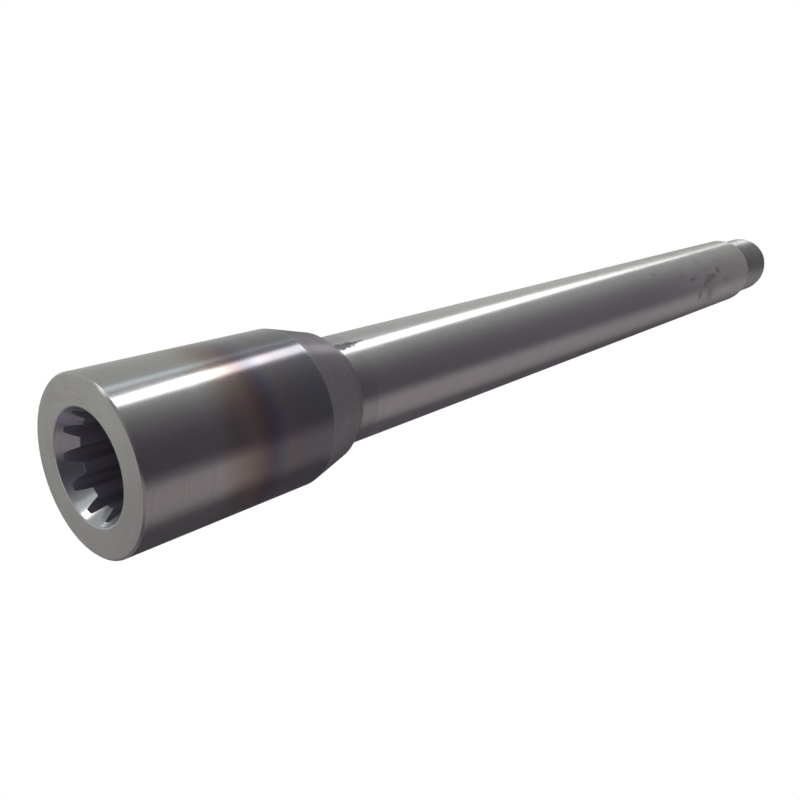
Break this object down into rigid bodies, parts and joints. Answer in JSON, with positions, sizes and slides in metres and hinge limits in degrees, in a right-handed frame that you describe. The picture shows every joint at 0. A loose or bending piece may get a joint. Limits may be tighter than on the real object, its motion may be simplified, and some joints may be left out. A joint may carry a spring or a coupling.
{
  "type": "splined shaft",
  "caption": "Turned steel drive shaft with an internally splined hub at one end, a long ground journal and a short threaded end.",
  "frame": {"origin": "centre of the hub's open end face, on which the shaft stands", "axes": "+Z along the shaft's axis, from the open face towards the threaded end; one space of the spline faces -Y"},
  "size_m": [0.0344, 0.0344, 0.314],
  "materials": {
    "ground_steel": "ground"
  },
  "bodies": {
    "root": {"splined_shaft": "ground_steel"}
  },
  "joints": []
}
